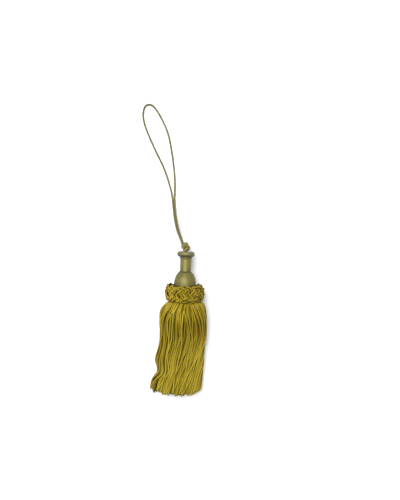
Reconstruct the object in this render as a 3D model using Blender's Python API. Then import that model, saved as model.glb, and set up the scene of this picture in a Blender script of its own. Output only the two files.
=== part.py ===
# A key tassel lying on its side: a turned wooden head, a plaited ruff, a skirt of yarn and a cord loop.
# Metres, +Z up. The surface it lies on is Z = 0, the head points along +Y and the skirt along -Y.
# Sizes below are in millimetres, and MM turns them into metres.
import math
import random
from collections import namedtuple

import bmesh
import bpy
from mathutils import Vector
from mathutils.geometry import interpolate_bezier

MM = 0.001
TAU = 2.0 * math.pi

# The head's axis
AXIS_HEIGHT = 18.2      # height of the axis over the surface
HEAD_LEAN = 2.0         # degrees that the head's top turns towards +X

# The turned head, outside to inside along its axis, as radius and place along the axis
HEAD_SIDES = 32
HeadRing = namedtuple("HeadRing", "radius along")
HEAD_RINGS = (
    HeadRing(5.2, 41.3),    # top of the rim
    HeadRing(7.6, 41.1),
    HeadRing(8.5, 40.0),
    HeadRing(8.7, 38.7),
    HeadRing(8.4, 37.3),
    HeadRing(7.3, 36.4),
    HeadRing(6.1, 36.0),    # under the rim
    HeadRing(5.6, 34.6),
    HeadRing(5.4, 28.0),
    HeadRing(5.4, 21.6),    # foot of the neck
    HeadRing(6.5, 20.9),    # shoulder of the ball
    HeadRing(8.1, 18.9),
    HeadRing(9.7, 15.9),
    HeadRing(10.6, 12.6),
    HeadRing(10.9, 9.0),
    HeadRing(10.4, 4.0),    # hidden in the ruff
    HeadRing(8.6, -1.0),
    HeadRing(6.0, -3.4),
)

# The plaited ruff round the foot of the ball
RUFF_STEPS = 130        # steps round the ring
RUFF_SECTION_STEPS = 18
RUFF_BIGHTS = 17        # scallops along each edge of the plait
RUFF_LEADS = 5
RUFF_MIDDLE = 0.8       # from the ring's outer middle to the plait's, towards the head
RUFF_SWING = 5.9        # how far a lead swings to each side of the plait's middle
RUFF_LEAD_WIDTH = 4.2
RUFF_LEAD_RISE = 1.1    # how far a lead stands proud of the ring
RUFF_LEAD_LIFT = 0.6    # how far a lead rises where it crosses over
RUFF_TURN = 0.05        # radians that the plait is turned, so that a lead lies on the surface
RUFF_SHIFT = 0.4        # how far the ring is moved towards the head all round
RUFF_SAG = 0.7          # how much further its sides are moved, and its top and bottom less
RuffPoint = namedtuple("RuffPoint", "radius along")
RUFF_SECTION = (        # the ring under the leads, from its outer middle towards the head
    RuffPoint(17.8, -1.3),
    RuffPoint(17.6, 1.8),
    RuffPoint(16.5, 4.8),
    RuffPoint(14.4, 6.9),
    RuffPoint(12.4, 7.4),
    RuffPoint(11.5, 5.2),
    RuffPoint(11.5, -4.6),
    RuffPoint(12.4, -7.0),
    RuffPoint(14.5, -8.0),
    RuffPoint(16.8, -6.6),
)

# The skirt: rings of yarn strands fused at their roots to a round backing
STRANDS_ROUND = 44
RING_COUNT = 4
STATION_SAMPLES = 720
BACKING_TOP = -4.3
ROOT_RING_EDGE = 0.5    # from the backing's edge to the first ring
ROOT_STRAND_DEPTH = 1.3
ROOT_GAP_SHARE = 0.34   # share of a strand's room left open beside it
STRAND_DEPTH = 1.4
GAP_SHARE = 0.15
STRAND_DIP = 0.3        # how far a strand on top may lie below its neighbours
END_RAGGED = 3.4
END_CURVE = 7.5         # how much shorter the corners are than the middle
SkirtSection = namedtuple("SkirtSection", "y left right bottom belly top flat_top flat_bottom pitch lean")
SKIRT_SECTIONS = (      # from the root to the ends; pitch is the distance from ring to ring
    SkirtSection(-8.5, -10.8, 10.2, 7.7, 18.2, 28.7, 2.0, 2.0, 1.9, 2.0),
    SkirtSection(-13.6, -21.3, 19.7, 0.0, 18.0, 36.8, 2.0, 2.5, 2.8, 2.0),
    SkirtSection(-19.0, -24.0, 21.0, 0.0, 17.0, 38.0, 2.1, 3.0, 3.2, 2.0),
    SkirtSection(-33.0, -25.2, 21.7, 0.0, 13.5, 33.4, 2.2, 3.6, 2.9, 1.0),
    SkirtSection(-54.0, -26.2, 20.3, 0.0, 9.8, 23.4, 2.3, 4.0, 2.3, 0.0),
    SkirtSection(-78.0, -28.0, 18.6, 0.0, 8.0, 18.6, 2.4, 4.2, 1.9, 0.0),
    SkirtSection(-104.5, -33.8, 15.4, 0.0, 7.2, 15.6, 2.4, 4.4, 1.75, 0.0),
)

# The cord: one length, doubled from the knot and opened into a loop
CORD_DIAMETER = 2.0
CORD_STEP = 4.5         # distance between the points of the tube
LEG_SPACING = 2.2       # between the middles of the two legs where they run together
PairPoint = namedtuple("PairPoint", "x y z turn")
CORD_PAIR = (           # middle of the two legs from the knot on, and the legs' turn about each other
    PairPoint(-2.8, 51.8, 18.2, 240),
    PairPoint(-3.6, 54.1, 17.4, 238),
    PairPoint(-5.1, 57.8, 15.0, 234),
    PairPoint(-6.7, 61.9, 11.9, 229),
    PairPoint(-8.0, 66.5, 8.4, 223),
    PairPoint(-9.1, 71.4, 5.3, 221),
    PairPoint(-10.0, 76.8, 3.2, 220),
    PairPoint(-10.7, 82.4, 2.1, 218),
    PairPoint(-11.3, 88.4, 1.75, 213),
    PairPoint(-11.8, 95.0, 1.4, 198),
)
LoopPoint = namedtuple("LoopPoint", "x y")
CORD_LOOP = (           # up the right leg, round the top and down the left leg, flat on the surface
    LoopPoint(-10.5, 102.2),
    LoopPoint(-10.4, 110.3),
    LoopPoint(-10.8, 119.5),
    LoopPoint(-11.7, 128.8),
    LoopPoint(-12.8, 138.0),
    LoopPoint(-14.4, 147.7),
    LoopPoint(-16.1, 156.9),
    LoopPoint(-18.5, 165.1),
    LoopPoint(-21.7, 172.6),
    LoopPoint(-25.0, 179.1),
    LoopPoint(-28.2, 184.5),
    LoopPoint(-31.4, 188.9),
    LoopPoint(-35.3, 191.6),
    LoopPoint(-39.3, 191.2),
    LoopPoint(-42.0, 187.6),
    LoopPoint(-42.9, 181.8),
    LoopPoint(-42.2, 174.8),
    LoopPoint(-40.0, 167.2),
    LoopPoint(-36.8, 159.3),
    LoopPoint(-33.2, 151.1),
    LoopPoint(-29.2, 142.5),
    LoopPoint(-25.1, 134.1),
    LoopPoint(-21.3, 125.8),
    LoopPoint(-18.3, 117.5),
    LoopPoint(-15.9, 109.3),
    LoopPoint(-14.0, 102.2),
)
CORD_REST_HEIGHT = 1.05

# The knot, a slanting lump of wound cord on top of the rim
KNOT_CENTRE = (1.0, 46.7, 18.0)
KNOT_LENGTH = 11.0
KNOT_WIDTH = 6.6
KNOT_SLANT = 41.0       # degrees that its top leans towards -X
KNOT_STEPS = 24
KNOT_RINGS = 11
KNOT_WRAPS = 3
KNOT_WRAP_TWIST = 2.2   # radians that the wraps turn from end to end
KNOT_WRAP_RISE = 0.55

# Colours as linear red, green and blue
WOOD_COLOUR = (0.270, 0.235, 0.085)
YARN_COLOUR = (0.360, 0.255, 0.024)
RUFF_COLOUR = (0.300, 0.205, 0.018)
CORD_COLOUR = (0.330, 0.295, 0.110)


def clear_scene():
    for thing in list(bpy.data.objects):
        bpy.data.objects.remove(thing, do_unlink=True)


def make_material(name, colour, roughness, metallic):
    material = bpy.data.materials.new(name)
    material.use_nodes = True
    shader = material.node_tree.nodes["Principled BSDF"]
    shader.inputs["Base Color"].default_value = (*colour, 1.0)
    shader.inputs["Roughness"].default_value = roughness
    shader.inputs["Metallic"].default_value = metallic
    material.diffuse_color = (*colour, 1.0)
    return material


def add_object(name, data, material, parent=None):
    data.materials.append(material)
    thing = bpy.data.objects.new(name, data)
    bpy.context.scene.collection.objects.link(thing)
    thing.parent = parent
    return thing


def finish_mesh(form, name, sharp_angle=math.radians(50)):
    """Turns a bmesh into a mesh with its faces pointing out, shaded smooth up to the sharp angle."""
    bmesh.ops.recalc_face_normals(form, faces=form.faces)
    mesh = bpy.data.meshes.new(name)
    form.to_mesh(mesh)
    form.free()
    mesh.shade_smooth()
    mesh.set_sharp_from_angle(angle=sharp_angle)
    return mesh


def add_ring(form, points):
    return [form.verts.new(Vector(point) * MM) for point in points]


def join_rings(form, first, second, skip=()):
    """Fills the band between two rings of the same count, leaving out the columns in skip."""
    count = len(first)
    for index in range(count):
        if index in skip:
            continue
        after = (index + 1) % count
        form.faces.new((first[index], first[after], second[after], second[index]))


def add_head_axis():
    """An empty whose local Z runs along the head's axis, towards the rim."""
    axis = bpy.data.objects.new("head_axis", None)
    bpy.context.scene.collection.objects.link(axis)
    axis.location = (0.0, 0.0, AXIS_HEIGHT * MM)
    axis.rotation_euler = (math.radians(-90), 0.0, math.radians(-HEAD_LEAN))
    return axis


def build_head(axis):
    form = bmesh.new()
    rings = []
    for ring in HEAD_RINGS:
        angles = [TAU * step / HEAD_SIDES for step in range(HEAD_SIDES)]
        points = [(ring.radius * math.cos(a), ring.radius * math.sin(a), ring.along) for a in angles]
        rings.append(add_ring(form, points))
    for first, second in zip(rings, rings[1:]):
        join_rings(form, first, second)
    form.faces.new(rings[0])
    form.faces.new(rings[-1])
    mesh = finish_mesh(form, "wood_head")
    return add_object("wood_head", mesh, make_material("painted wood", WOOD_COLOUR, 0.45, 0.35), axis)


def closed_curve(points, count):
    """Even steps along the smooth closed curve through the points, each with its outward normal."""
    samples = []
    total = len(points)
    for index in range(total):
        before, start, end, after = (Vector(points[(index + shift) % total]) for shift in (-1, 0, 1, 2))
        handle_start = start + (end - before) / 6.0
        handle_end = end - (after - start) / 6.0
        samples += interpolate_bezier(start, handle_start, handle_end, end, 24)[:-1]
    lengths = [0.0]
    for first, second in zip(samples, samples[1:] + samples[:1]):
        lengths.append(lengths[-1] + (second - first).length)
    steps = []
    place = 0
    for step in range(count):
        target = lengths[-1] * step / count
        while lengths[place + 1] < target:
            place += 1
        share = (target - lengths[place]) / (lengths[place + 1] - lengths[place])
        first = samples[place]
        second = samples[(place + 1) % len(samples)]
        run = (second - first).normalized()
        steps.append((first.lerp(second, share), Vector((run.y, -run.x)), target))
    return steps, lengths[-1]


def plait_height(turn, across):
    """Height of the plait over its ring at an angle round it and a distance across from its middle.

    Each lead swings across as a sine and rises as the sine of that angle times one less than the
    number of leads, so it goes over and under the others in turn. The highest lead gives the height.
    """
    height = 0.0
    half_width = RUFF_LEAD_WIDTH / 2.0
    swings = RUFF_BIGHTS / RUFF_LEADS
    radius = RUFF_SECTION[0].radius + RUFF_LEAD_RISE
    for lead in range(RUFF_LEADS):
        phase = swings * (turn + RUFF_TURN) + TAU * lead / RUFF_LEADS
        slope = RUFF_SWING * swings * math.cos(phase) / radius
        lead_middle = RUFF_MIDDLE + RUFF_SWING * math.sin(phase)
        distance = abs(across - lead_middle) / math.hypot(1.0, slope)
        if distance < half_width:
            crown = math.sqrt(1.0 - (distance / half_width) ** 2)
            lift = RUFF_LEAD_LIFT * (1.0 + math.sin((RUFF_LEADS - 1) * phase)) / 2.0
            height = max(height, (RUFF_LEAD_RISE + lift) * crown)
    return height


def build_ruff(axis):
    section, length = closed_curve(RUFF_SECTION, RUFF_SECTION_STEPS)
    form = bmesh.new()
    rings = []
    for step in range(RUFF_STEPS):
        turn = TAU * step / RUFF_STEPS
        shift = RUFF_SHIFT + RUFF_SAG * math.cos(2.0 * turn)
        points = []
        for point, normal, run in section:
            across = run if run < length / 2.0 else run - length
            showing = min(max((normal.x + 0.15) / 0.6, 0.0), 1.0)
            out = point + normal * plait_height(turn, across) * showing
            side = out.x * math.cos(turn)
            down = min(out.x * math.sin(turn), AXIS_HEIGHT)
            points.append((side, down, out.y + shift))
        rings.append(add_ring(form, points))
    for first, second in zip(rings, rings[1:] + rings[:1]):
        join_rings(form, first, second)
    mesh = finish_mesh(form, "ruff", math.radians(70))
    return add_object("ruff", mesh, make_material("ruff yarn", RUFF_COLOUR, 0.6, 0.0), axis)


def section_turns(section):
    """Curve angles that share the section's outline, at half the skirt's depth, into equal lengths."""
    depth = section.pitch * RING_COUNT / 2.0
    angles = [TAU * (0.25 + step / STATION_SAMPLES) for step in range(STATION_SAMPLES + 1)]
    points = [section_point(section, angle, depth) for angle in angles]
    lengths = [0.0]
    for first, second in zip(points, points[1:]):
        lengths.append(lengths[-1] + math.dist(first, second))
    return angles, lengths


def turn_at(table, share):
    angles, lengths = table
    target = (share % 1.0) * lengths[-1]
    low = 0
    high = len(lengths) - 1
    while high - low > 1:
        middle = (low + high) // 2
        if lengths[middle] <= target:
            low = middle
        else:
            high = middle
    part = (target - lengths[low]) / (lengths[high] - lengths[low])
    return angles[low] + (angles[high] - angles[low]) * part


def section_point(section, angle, depth):
    """A point of the section's outline moved inwards by depth, rounder or flatter above and below."""
    across = math.cos(angle)
    up = math.sin(angle)
    flat = section.flat_top if up > 0.0 else section.flat_bottom
    reach = section.top - section.belly if up > 0.0 else section.belly - section.bottom
    middle = (section.left + section.right) / 2.0
    half_width = (section.right - section.left) / 2.0 - depth
    x = middle + half_width * math.copysign(abs(across) ** (2.0 / flat), across)
    z = section.belly + (reach - depth) * math.copysign(abs(up) ** (2.0 / flat), up)
    y = section.y - x * math.tan(math.radians(section.lean))
    return (x, y, z)


def strand_end(point, section, shorter):
    """Moves an end point back to its strand's own length, shorter towards the skirt's corners."""
    middle = (section.left + section.right) / 2.0
    share = (point[0] - middle) / ((section.right - section.left) / 2.0)
    return (point[0], point[1] + END_CURVE * abs(share) ** 3 + shorter, point[2])


def build_skirt():
    dice = random.Random(11)
    root = SKIRT_SECTIONS[0]
    tables = [section_turns(section) for section in SKIRT_SECTIONS]
    columns = []
    for strand in range(STRANDS_ROUND):
        columns.append((strand + ROOT_GAP_SHARE / 2.0) / STRANDS_ROUND)
        columns.append((strand + 1.0 - ROOT_GAP_SHARE / 2.0) / STRANDS_ROUND)
    depths = [0.0]
    for ring in range(RING_COUNT):
        start = ROOT_RING_EDGE + ring * root.pitch
        depths += [start, start + ROOT_STRAND_DEPTH]
    form = bmesh.new()
    loops = []
    for depth in depths:
        loops.append(add_ring(form, [section_point(root, turn_at(tables[0], u), depth) for u in columns]))
    strand_columns = range(0, len(columns), 2)
    for index, (first, second) in enumerate(zip(loops, loops[1:])):
        join_rings(form, first, second, strand_columns if index % 2 else ())
    form.faces.new(loops[-1])
    back = add_ring(form, [(v.co.x / MM, v.co.y / MM + BACKING_TOP - root.y, v.co.z / MM) for v in loops[0]])
    join_rings(form, back, loops[0])
    form.faces.new(back)
    for ring in range(RING_COUNT):
        outer = loops[1 + 2 * ring]
        inner = loops[2 + 2 * ring]
        for strand in range(STRANDS_ROUND):
            start = 2 * strand
            previous = [outer[start], outer[start + 1], inner[start + 1], inner[start]]
            upper_share = (1.0 + math.cos(TAU * strand / STRANDS_ROUND)) / 2.0
            dip = dice.uniform(0.0, STRAND_DIP) * upper_share
            shorter = dice.uniform(0.0, END_RAGGED)
            left = (strand + GAP_SHARE / 2.0) / STRANDS_ROUND
            right = (strand + 1.0 - GAP_SHARE / 2.0) / STRANDS_ROUND
            for section, table in zip(SKIRT_SECTIONS[1:], tables[1:]):
                top = ring * section.pitch + dip
                low = top + STRAND_DEPTH
                corners = ((left, top), (right, top), (right, low), (left, low))
                points = [section_point(section, turn_at(table, u), depth) for u, depth in corners]
                if section is SKIRT_SECTIONS[-1]:
                    points = [strand_end(point, section, shorter) for point in points]
                current = add_ring(form, points)
                join_rings(form, previous, current)
                previous = current
            form.faces.new(previous)
    mesh = finish_mesh(form, "skirt", math.radians(35))
    return add_object("skirt", mesh, make_material("skirt yarn", YARN_COLOUR, 0.55, 0.0))


def pair_legs():
    """Middles of the two legs of the doubled stretch, a spacing apart square to the way they run."""
    middles = [Vector(point[:3]) for point in CORD_PAIR]
    legs = ([], [])
    for index, point in enumerate(CORD_PAIR):
        before = middles[max(index - 1, 0)]
        after = middles[min(index + 1, len(middles) - 1)]
        run = (after - before).normalized()
        side = run.cross(Vector((0.0, 0.0, 1.0))).normalized()
        up = side.cross(run)
        turn = math.radians(point.turn)
        offset = (side * -math.cos(turn) - up * math.sin(turn)) * LEG_SPACING / 2.0
        legs[0].append(middles[index] + offset)
        legs[1].append(middles[index] - offset)
    return legs


def cord_route():
    right_leg, left_leg = pair_legs()
    loop = [Vector((point.x, point.y, CORD_REST_HEIGHT)) for point in CORD_LOOP]
    return right_leg + loop + left_leg[::-1]


def smooth_run(points, step):
    """Even steps along a smooth open curve through the points."""
    ends = [points[0] * 2.0 - points[1]] + points + [points[-1] * 2.0 - points[-2]]
    samples = []
    for before, start, end, after in zip(ends, ends[1:], ends[2:], ends[3:]):
        handle_start = start + (end - before) / 6.0
        handle_end = end - (after - start) / 6.0
        samples += interpolate_bezier(start, handle_start, handle_end, end, 24)[:-1]
    samples.append(points[-1])
    lengths = [0.0]
    for first, second in zip(samples, samples[1:]):
        lengths.append(lengths[-1] + (second - first).length)
    count = max(2, round(lengths[-1] / step))
    run = []
    place = 0
    for index in range(count + 1):
        target = lengths[-1] * index / count
        while place < len(lengths) - 2 and lengths[place + 1] < target:
            place += 1
        share = (target - lengths[place]) / (lengths[place + 1] - lengths[place])
        run.append(samples[place].lerp(samples[place + 1], share))
    return run, lengths[-1]


def build_cord():
    points, length = smooth_run(cord_route(), CORD_STEP)
    curve = bpy.data.curves.new("cord_loop", "CURVE")
    curve.dimensions = "3D"
    curve.bevel_depth = CORD_DIAMETER / 2.0 * MM
    curve.bevel_resolution = 2
    curve.use_fill_caps = True
    spline = curve.splines.new("POLY")
    spline.points.add(len(points) - 1)
    for slot, point in zip(spline.points, points):
        slot.co = (*(point * MM), 1.0)
    print(f"cord: {len(points)} points, {length:.1f} mm")
    return add_object("cord_loop", curve, make_material("gold cord", CORD_COLOUR, 0.55, 0.0))


def build_knot():
    """A rounded lump along local Z, with wraps of cord standing proud in slanting ridges."""
    form = bmesh.new()
    rings = []
    for ring in range(1, KNOT_RINGS):
        share = ring / KNOT_RINGS
        around = math.pi * share
        points = []
        for step in range(KNOT_STEPS):
            turn = TAU * step / KNOT_STEPS
            ridge = abs(math.sin(KNOT_WRAPS * turn / 2.0 + KNOT_WRAP_TWIST * (share - 0.5)))
            radius = (KNOT_WIDTH / 2.0 - KNOT_WRAP_RISE * (1.0 - ridge)) * math.sin(around) ** 0.7
            height = -KNOT_LENGTH / 2.0 * math.cos(around)
            points.append((radius * math.cos(turn), radius * math.sin(turn), height))
        rings.append(add_ring(form, points))
    for first, second in zip(rings, rings[1:]):
        join_rings(form, first, second)
    form.faces.new(rings[0])
    form.faces.new(rings[-1])
    mesh = finish_mesh(form, "cord_knot", math.radians(60))
    knot = add_object("cord_knot", mesh, make_material("knot cord", CORD_COLOUR, 0.55, 0.0))
    knot.location = Vector(KNOT_CENTRE) * MM
    knot.rotation_euler = (math.radians(-90), 0.0, math.radians(KNOT_SLANT))
    return knot


def build_tassel():
    clear_scene()
    axis = add_head_axis()
    build_head(axis)
    build_ruff(axis)
    build_skirt()
    build_cord()
    build_knot()
    bpy.context.view_layer.update()


build_tassel()
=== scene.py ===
import math

import bpy
import numpy as np
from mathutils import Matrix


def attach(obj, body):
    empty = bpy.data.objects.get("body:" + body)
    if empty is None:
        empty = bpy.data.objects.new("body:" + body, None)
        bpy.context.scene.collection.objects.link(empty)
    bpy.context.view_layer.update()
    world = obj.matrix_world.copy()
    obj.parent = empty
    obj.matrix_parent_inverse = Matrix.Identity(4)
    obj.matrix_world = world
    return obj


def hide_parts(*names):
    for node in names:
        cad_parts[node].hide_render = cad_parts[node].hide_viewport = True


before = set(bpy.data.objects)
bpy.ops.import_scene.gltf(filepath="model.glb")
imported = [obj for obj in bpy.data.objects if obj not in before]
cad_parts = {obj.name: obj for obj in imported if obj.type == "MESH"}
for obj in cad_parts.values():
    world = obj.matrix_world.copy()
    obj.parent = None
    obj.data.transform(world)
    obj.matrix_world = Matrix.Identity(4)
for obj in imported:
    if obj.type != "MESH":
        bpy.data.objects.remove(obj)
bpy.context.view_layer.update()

mm = 0.001
fullTurn = 2.0 * math.pi
print("frame loaded:", ", ".join(sorted(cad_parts)))


# camera: straight above, so that one pixel of the 400 x 500 picture is one millimetre at the tassel's height
view = dict(
    middle=(15.3, 42.8),    # what lies under the picture's middle, in mm
    height=600.0,           # of the lens over the surface
    sharpHeight=15.0,       # where a pixel is a millimetre
    pictureHeight=500.0,
    sensor=36.0,
)


def makeCamera():
    data = bpy.data.cameras.new("camera")
    data.sensor_width = view["sensor"]
    data.lens = view["sensor"] * (view["height"] - view["sharpHeight"]) / view["pictureHeight"]
    camera = bpy.data.objects.new("camera", data)
    bpy.context.scene.collection.objects.link(camera)
    camera.location = (view["middle"][0] * mm, view["middle"][1] * mm, view["height"] * mm)
    bpy.context.scene.camera = camera


# lines: rows of points in mm, each row one yarn or cord

def evenSteps(line, count):
    # Points at equal distances along a broken line, read off its running length
    reach = np.concatenate([[0.0], np.cumsum(np.linalg.norm(np.diff(line, axis=0), axis=1))])
    wanted = np.linspace(0.0, reach[-1], count)
    return np.stack([np.interp(wanted, reach, line[:, axis]) for axis in range(line.shape[1])], axis=1)


def smoothLine(points, step):
    # The cubic between each two points whose slopes there are half the chord between their neighbours
    points = np.asarray(points, float)
    ends = np.vstack([2.0 * points[0] - points[1], points, 2.0 * points[-1] - points[-2]])
    before, start, end, after = ends[:-3], ends[1:-2], ends[2:-1], ends[3:]
    t = np.linspace(0.0, 1.0, 33)[:-1, None, None]
    dense = 0.5 * (2.0 * start + (end - before) * t
                   + (2.0 * before - 5.0 * start + 4.0 * end - after) * t**2
                   + (3.0 * start - before - 3.0 * end + after) * t**3)
    dense = np.vstack([dense.transpose(1, 0, 2).reshape(-1, points.shape[1]), points[-1]])
    length = np.linalg.norm(np.diff(dense, axis=0), axis=1).sum()
    return evenSteps(dense, max(2, round(length / step)) + 1), length


def unit(vectors):
    return vectors / np.maximum(np.linalg.norm(vectors, axis=-1, keepdims=True), 1e-9)


def pliedSurface(lines, guide, radius, sides, plies, turnAlong, groove, closed=False):
    # Points stand round each point of a line at the angle theta plus the twist there, at the distance
    # radius * (1 - groove + groove * |cos(plies * theta / 2)|), so the crowns of the plies wind as helices.
    # Facing is the sine of a point's angle, 1 on the side that the guide points to. The yarn finish paints
    # shade where it is low.
    if closed:
        run = unit(np.roll(lines, -1, axis=1) - np.roll(lines, 1, axis=1))
    else:
        run = unit(np.gradient(lines, axis=1))
    side = unit(np.cross(run, guide))
    up = np.cross(side, run)
    theta = fullTurn * np.arange(sides) / sides
    crown = np.abs(np.cos(plies * theta / 2.0))
    angle = theta + turnAlong[..., None]
    groove = np.broadcast_to(groove, lines.shape[:2])[..., None]
    radius = np.broadcast_to(radius, lines.shape[:2])[..., None]
    reach = radius * (1.0 - groove + groove * crown)
    points = (lines[:, :, None, :]
              + (reach * np.cos(angle))[..., None] * side[:, :, None, :]
              + (reach * np.sin(angle))[..., None] * up[:, :, None, :])
    along = np.cumsum(np.linalg.norm(np.diff(lines, axis=1, prepend=lines[:, :1]), axis=-1), axis=1)
    lay = theta + 0.8 * turnAlong[..., None]
    lengthwise = np.broadcast_to(along[..., None], lay.shape)
    fibre = np.stack([radius * np.cos(lay), radius * np.sin(lay), lengthwise], axis=-1)
    return dict(points=points, crown=np.broadcast_to(crown, lay.shape), fibre=fibre, facing=np.sin(angle))


def meshPiece(name, grids, material, closedAlong=False):
    # Each grid holds points (rows, steps, sides, 3) in mm and the values kept at each point. Neighbours
    # along and round make the faces, and the ends get one face each.
    positions, faces, values, start = [], [], {}, 0
    for grid in grids:
        rows, steps, sides = grid["points"].shape[:3]
        index = start + np.arange(rows * steps * sides).reshape(rows, steps, sides)
        after = np.roll(index, -1, axis=1) if closedAlong else index[:, 1:]
        here = index if closedAlong else index[:, :-1]
        turnHere, turnAfter = np.roll(here, -1, axis=2), np.roll(after, -1, axis=2)
        quads = np.stack([here, after, turnAfter, turnHere], axis=-1)
        faces += quads.reshape(-1, 4).tolist()
        if not closedAlong:
            faces += index[:, 0].tolist() + index[:, -1, ::-1].tolist()
        positions.append(grid["points"].reshape(-1, 3))
        for key, value in grid.items():
            if key != "points":
                shape = (rows, steps, sides) + ((3,) if key == "fibre" else ())
                width = 3 if key == "fibre" else 1
                values.setdefault(key, []).append(np.broadcast_to(value, shape).reshape(-1, width))
        start += index.size
    mesh = bpy.data.meshes.new(name)
    mesh.from_pydata((np.vstack(positions) * mm).tolist(), [], faces)
    for key, rowsOfValues in values.items():
        kind, field = ("FLOAT_VECTOR", "vector") if key == "fibre" else ("FLOAT", "value")
        layer = mesh.attributes.new(key, kind, "POINT")
        layer.data.foreach_set(field, np.vstack(rowsOfValues).astype(np.float32).ravel())
    mesh.shade_smooth()
    mesh.materials.append(material)
    piece = bpy.data.objects.new(name, mesh)
    bpy.context.scene.collection.objects.link(piece)
    print(f"{name}: {len(faces)} faces")
    return piece


# finishes

def addNode(tree, kind, **settings):
    node = tree.nodes.new(kind)
    for key, value in settings.items():
        setattr(node, key, value)
    return node


def newGroup(name, inputs, outputs):
    tree = bpy.data.node_groups.new(name, "ShaderNodeTree")
    for label, kind, value in inputs:
        socket = tree.interface.new_socket(name=label, in_out="INPUT", socket_type=kind)
        if value is not None:
            socket.default_value = value
    for label, kind in outputs:
        tree.interface.new_socket(name=label, in_out="OUTPUT", socket_type=kind)
    return tree, tree.nodes.new("NodeGroupInput"), tree.nodes.new("NodeGroupOutput")


def mathNode(tree, operation, first, second=None, clamp=False):
    node = addNode(tree, "ShaderNodeMath", operation=operation, use_clamp=clamp)
    for socket, value in zip(node.inputs, (first, second)):
        if isinstance(value, (int, float)):
            socket.default_value = value
        elif value is not None:
            tree.links.new(value, socket)
    return node.outputs[0]


def mixColour(tree, factor, first, second, blend="MIX"):
    node = addNode(tree, "ShaderNodeMix", data_type="RGBA", blend_type=blend)
    for socket, value in ((node.inputs[0], factor), (node.inputs[6], first), (node.inputs[7], second)):
        if isinstance(value, (int, float, tuple)):
            socket.default_value = value
        else:
            tree.links.new(value, socket)
    return node.outputs[2]


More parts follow.
